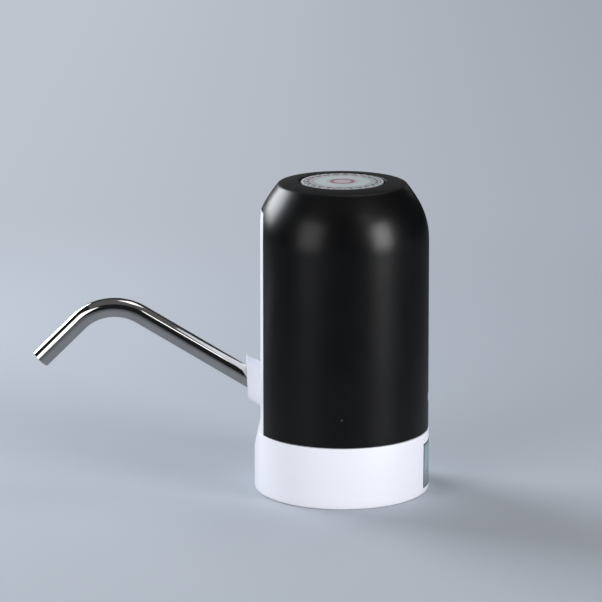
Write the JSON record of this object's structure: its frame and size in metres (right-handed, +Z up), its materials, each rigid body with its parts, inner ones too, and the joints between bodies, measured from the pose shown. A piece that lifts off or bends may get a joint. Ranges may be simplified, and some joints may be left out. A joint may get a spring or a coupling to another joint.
{
  "type": "bottled water pump",
  "caption": "Battery-powered water pump that stands on a large bottle's neck, with a domed shell, a press button on top and a bent steel spout that turns in a slanted socket.",
  "frame": {"origin": "middle of the flat ceiling inside the base that a bottle's mouth comes up to", "axes": "+Z up along the body's axis, the spout towards -X, the charging socket towards +X"},
  "size_m": [0.1651, 0.073, 0.1305],
  "materials": {
    "white_plastic": "smooth moulded, satin gloss",
    "black_plastic": "fine satin",
    "button_plastic": "fine satin",
    "overlay_film": "metallised film",
    "polished_steel": "polished",
    "silicone": "translucent, soft",
    "grey_plastic": "moulded",
    "pump_plastic": "moulded",
    "motor_steel": "zinc-plated",
    "board_green": "solder mask",
    "battery_wrap": "shrink sleeve",
    "nickel": "nickel-plated",
    "screw_steel": "plated",
    "switch_black": "moulded",
    "lamp_clear": "clear resin"
  },
  "bodies": {
    "housing": {"base_body": "white_plastic", "battery_cell": "battery_wrap", "battery_tab": "nickel", "button_board": "board_green", "button_board_screw_1": "screw_steel", "button_board_screw_2": "screw_steel", "button_board_screw_3": "screw_steel", "charge_board": "board_green", "charge_board_screw_1": "screw_steel", "charge_board_screw_2": "screw_steel", "charge_led": "lamp_clear", "diaphragm": "silicone", "frame_screw_1": "screw_steel", "frame_screw_2": "screw_steel", "inlet_fitting": "grey_plastic", "inlet_hose": "silicone", "inner_frame": "white_plastic", "motor_can": "motor_steel", "motor_cap": "black_plastic", "motor_terminal_1": "nickel", "motor_terminal_2": "nickel", "neck_gasket": "silicone", "outer_shell": "black_plastic", "outlet_flap": "silicone", "outlet_hose": "silicone", "pump_case": "pump_plastic", "pump_clamp": "white_plastic", "pump_cover": "pump_plastic", "pump_screw_1": "screw_steel", "pump_screw_2": "screw_steel", "pump_screw_3": "screw_steel", "run_led": "lamp_clear", "shell_screw_1": "screw_steel", "shell_screw_2": "screw_steel", "shell_screw_3": "screw_steel", "shell_screw_4": "screw_steel", "spout_socket": "white_plastic", "switch_body": "switch_black", "usb_socket": "nickel", "valve_plate": "pump_plastic"},
    "button": {"button_cap": "button_plastic", "button_overlay": "overlay_film", "switch_plunger": "grey_plastic"},
    "sleeve": {"spout_sleeve": "silicone"},
    "spout": {"spout_tube": "polished_steel"},
    "rotor": {"motor_shaft": "polished_steel", "crank": "white_plastic", "crank_pin": "polished_steel"},
    "swing": {"swing_plate": "pump_plastic"}
  },
  "joints": [
    {"name": "button_press", "type": "slide", "parent": "housing", "child": "button", "axis": [0, 0, -1], "range_m": [0, 0.0006], "stiffness_N_per_m": 1500},
    {"name": "spout_swivel", "type": "hinge", "parent": "housing", "child": "sleeve", "pos_m": [-0.03365, 0, 0.02314], "axis": [-0.8572, 0, 0.515], "continuous": true},
    {"name": "spout_pull", "type": "slide", "parent": "sleeve", "child": "spout", "axis": [-0.8572, 0, 0.515], "range_m": [0, 0.01]},
    {"name": "motor_spin", "type": "hinge", "parent": "housing", "child": "rotor", "pos_m": [0.006, -0.011, 0.04664], "axis": [0, 0, 1], "continuous": true},
    {"name": "plate_rock", "type": "hinge", "parent": "housing", "child": "swing", "pos_m": [0.006, -0.011, 0.04664], "axis": [1, 0, 0], "range_deg": [0, 6]}
  ]
}
